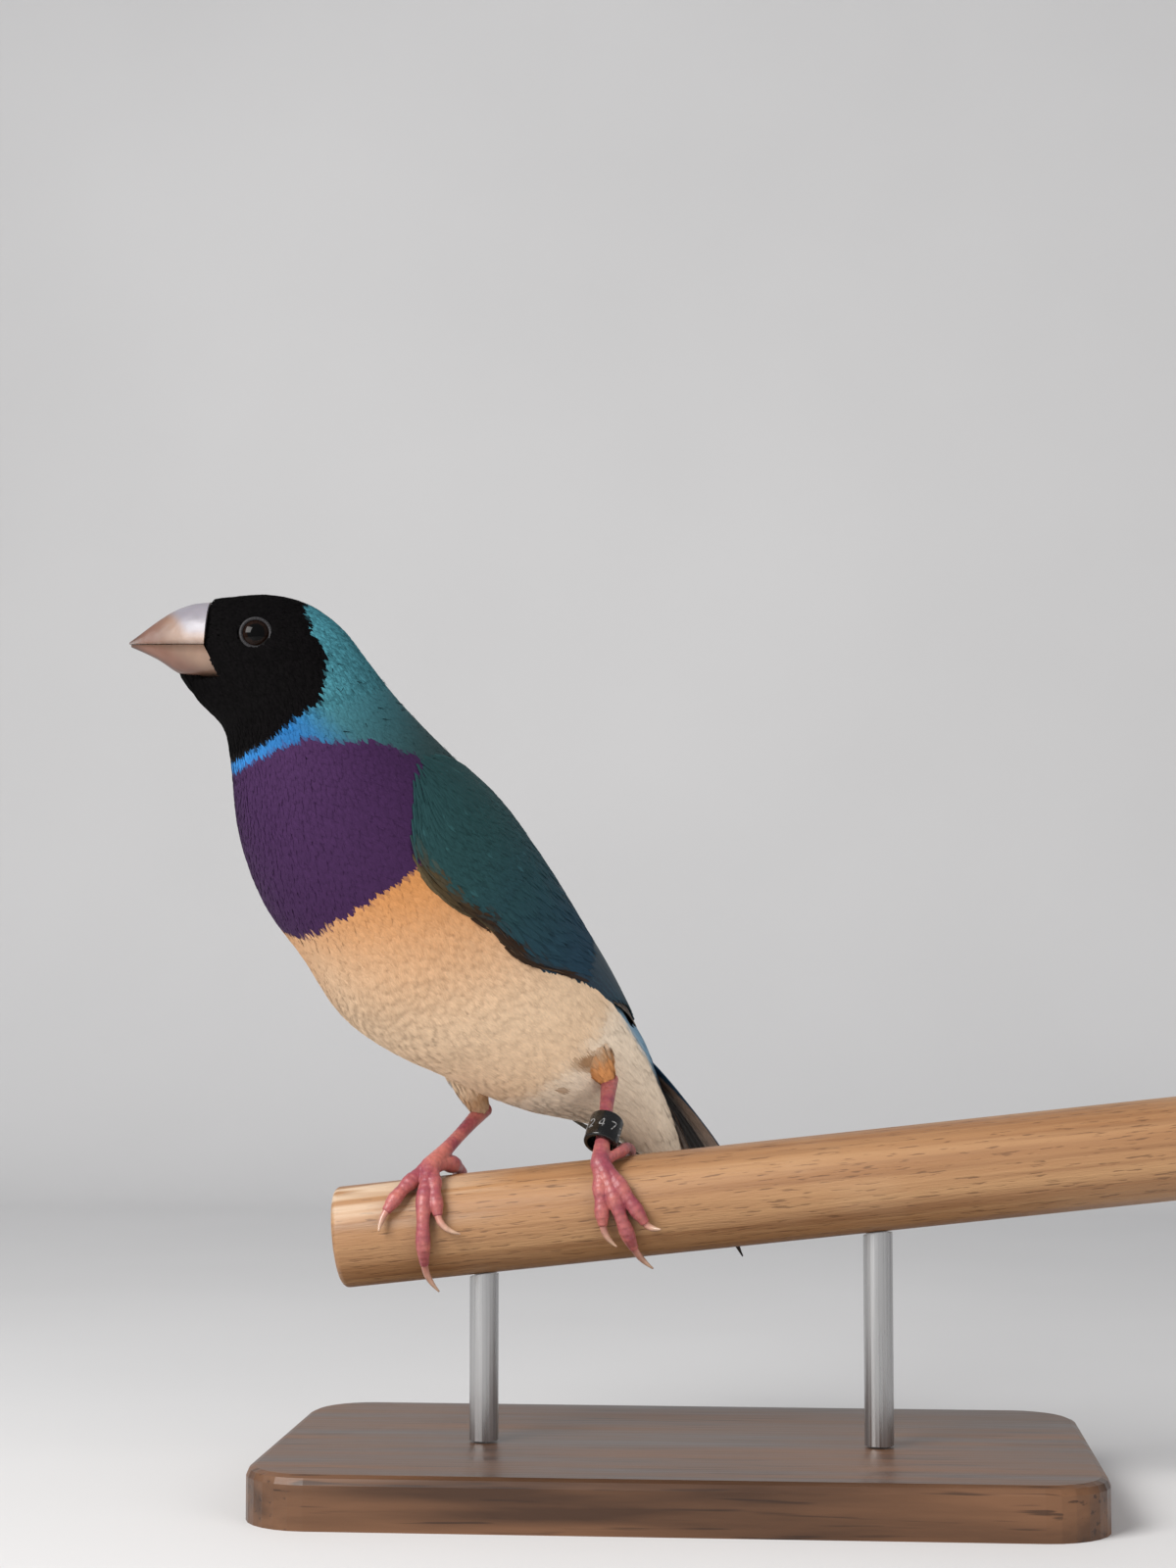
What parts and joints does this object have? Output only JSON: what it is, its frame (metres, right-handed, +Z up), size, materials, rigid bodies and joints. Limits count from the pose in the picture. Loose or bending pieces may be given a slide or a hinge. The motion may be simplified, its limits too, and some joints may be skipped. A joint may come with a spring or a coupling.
{
  "type": "gouldian finch display model",
  "caption": "Life-size still model of a perched gouldian finch, head turned to one side, gripping a short sloping dowel held over a flat base by short rods.",
  "frame": {"origin": "middle of the base's underside, which is also the middle of the whole model's box seen from above", "axes": "+Z up; the dowel runs along X and rises towards +X; the viewer of the picture stands at -Y and looks along +Y, so the bill points to -X and the tail hangs at +Y behind the dowel"},
  "size_m": [0.1452, 0.0639, 0.1218],
  "materials": {
    "mask_black": "short black face feathers, velvety",
    "nape_turquoise": "silky turquoise nape feathers",
    "breast_and_belly": "purple breast feathers over an orange-buff and cream belly",
    "wing_teal": "blue-green wing coverts and dark flight feathers",
    "tail_black": "smooth blue-black tail feathers",
    "bill_horn": "satin horn, pale with a pinkish-brown tip",
    "eye_black": "wet gloss, nearly black",
    "thigh_buff": "soft buff feathers",
    "leg_pink": "pink-red scaled skin with a soft shine",
    "claw_horn": "satin brown horn",
    "ring_black": "gloss black leg ring",
    "dowel_beech": "bare beech dowel, slightly worn",
    "base_walnut": "oiled walnut",
    "rod_steel": "brushed"
  },
  "bodies": {
    "root": {"bill_lower": "bill_horn", "bill_upper": "bill_horn", "claw_left_hind": "claw_horn", "claw_left_inner": "claw_horn", "claw_left_middle": "claw_horn", "claw_left_outer": "claw_horn", "claw_right_hind": "claw_horn", "claw_right_inner": "claw_horn", "claw_right_middle": "claw_horn", "claw_right_outer": "claw_horn", "eye_left": "eye_black", "eye_right": "eye_black", "foot_left": "leg_pink", "foot_right": "leg_pink", "head": "mask_black", "leg_left": "leg_pink", "leg_right": "leg_pink", "leg_ring": "ring_black", "neck": "nape_turquoise", "perch": "dowel_beech", "stand_base": "base_walnut", "stand_rod_left": "rod_steel", "stand_rod_right": "rod_steel", "tail": "tail_black", "thigh_left": "thigh_buff", "thigh_right": "thigh_buff", "trunk": "breast_and_belly", "wing_left": "wing_teal", "wing_right": "wing_teal"}
  },
  "joints": []
}
